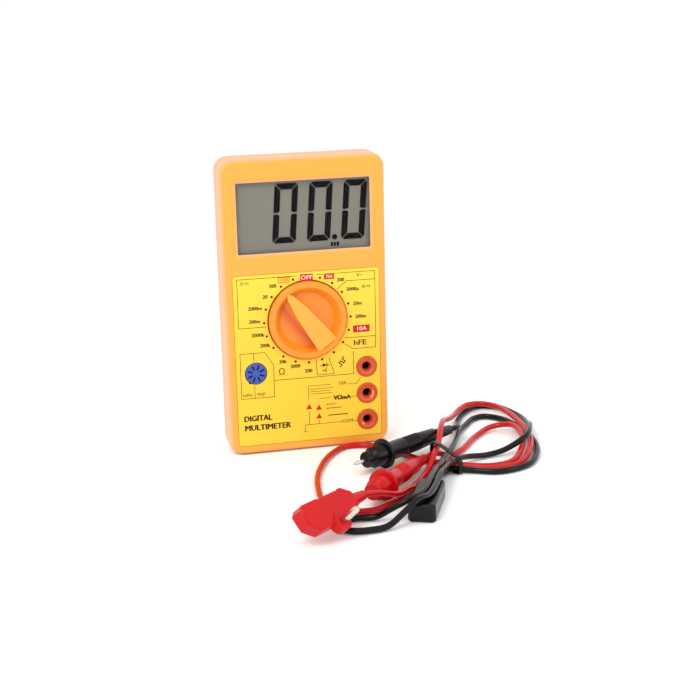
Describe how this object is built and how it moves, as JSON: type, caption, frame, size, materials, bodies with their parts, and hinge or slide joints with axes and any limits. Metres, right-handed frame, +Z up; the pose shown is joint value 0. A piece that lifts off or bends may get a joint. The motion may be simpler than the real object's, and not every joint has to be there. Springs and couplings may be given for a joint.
{
  "type": "handheld digital multimeter with test leads",
  "caption": "Orange pocket multimeter standing on end, with a large display, a turning range knob, plug jacks, a removable back and a tied pair of red and black test leads.",
  "frame": {"origin": "centre of the meter's footprint where it stands on its bottom end", "axes": "+Z up the meter, -Y out of the face with the knob and the display, +X to the right as the face is read"},
  "size_m": [0.1629, 0.1757, 0.1515],
  "materials": {
    "case": "semi-gloss orange moulding",
    "knob": "semi-gloss deeper orange moulding",
    "label": "printed yellow film",
    "window": "clear acrylic",
    "display": "grey-green liquid-crystal cell",
    "holder": "moulded white",
    "elastomer": "layered elastomer",
    "collar": "moulded orange-red",
    "socket": "moulded blue",
    "board": "green solder mask",
    "epoxy": "black potting resin",
    "black_plastic": "moulded black",
    "red_plastic": "glossy red moulding",
    "red_flex": "soft vinyl",
    "black_flex": "soft vinyl",
    "sleeve": "shrink sleeve",
    "fuse_glass": "clear glass tube",
    "battery": "dark wrapped can",
    "copper": "bare copper alloy wire",
    "brass": "turned and pressed brass",
    "plating": "nickel plated",
    "steel": "zinc plated"
  },
  "bodies": {
    "meter": {"front_case": "case", "lcd_window": "window", "lcd_glass": "display", "lcd_frame": "holder", "contact_strip_lower": "elastomer", "contact_strip_upper": "elastomer", "face_label": "label", "jack_collar_10a": "collar", "jack_sleeve_10a": "brass", "jack_collar_vohm": "collar", "jack_sleeve_vohm": "brass", "jack_collar_com": "collar", "jack_sleeve_com": "brass", "transistor_socket": "socket", "circuit_board": "board", "board_screw_1": "steel", "board_screw_2": "steel", "board_screw_3": "steel", "chip_blob": "epoxy", "buzzer": "black_plastic", "capacitor": "sleeve", "trimmer": "socket", "fuse_glass": "fuse_glass", "fuse_cap_1": "plating", "fuse_clip_1": "brass", "fuse_cap_2": "plating", "fuse_clip_2": "brass", "shunt_wire": "copper", "battery": "battery", "battery_stud_plus": "plating", "battery_stud_minus": "plating", "battery_snap": "black_plastic", "battery_wire_red": "red_flex", "battery_wire_black": "black_flex"},
    "knob": {"selector_knob": "knob", "knob_contact_1": "brass", "knob_contact_2": "brass", "knob_contact_3": "brass", "detent_ball_1": "steel", "detent_ball_2": "steel", "detent_spring_1": "steel", "detent_spring_2": "steel"},
    "rear_cover": {"rear_case": "case", "rear_screw_1": "steel", "rear_screw_2": "steel", "rear_screw_3": "steel", "rear_screw_4": "steel"},
    "leads": {"red_plug_body": "red_plastic", "red_plug_pin": "plating", "red_probe_handle": "red_plastic", "red_probe_tip": "plating", "red_cord": "red_flex", "black_plug_body": "black_plastic", "black_plug_pin": "plating", "black_probe_handle": "black_plastic", "black_probe_tip": "plating", "black_cord": "black_flex", "tie": "black_flex"}
  },
  "joints": [
    {"name": "knob_turn", "type": "hinge", "parent": "meter", "child": "knob", "pos_m": [0, -0.01275, 0.069], "axis": [0, 1, 0], "continuous": true},
    {"name": "rear_cover_off", "type": "slide", "parent": "meter", "child": "rear_cover", "axis": [0, 1, 0], "range_m": [0, 0.05]},
    {"name": "leads_lift", "type": "slide", "parent": "meter", "child": "leads", "axis": [0, 0, 1], "range_m": [0, 0.08]}
  ]
}
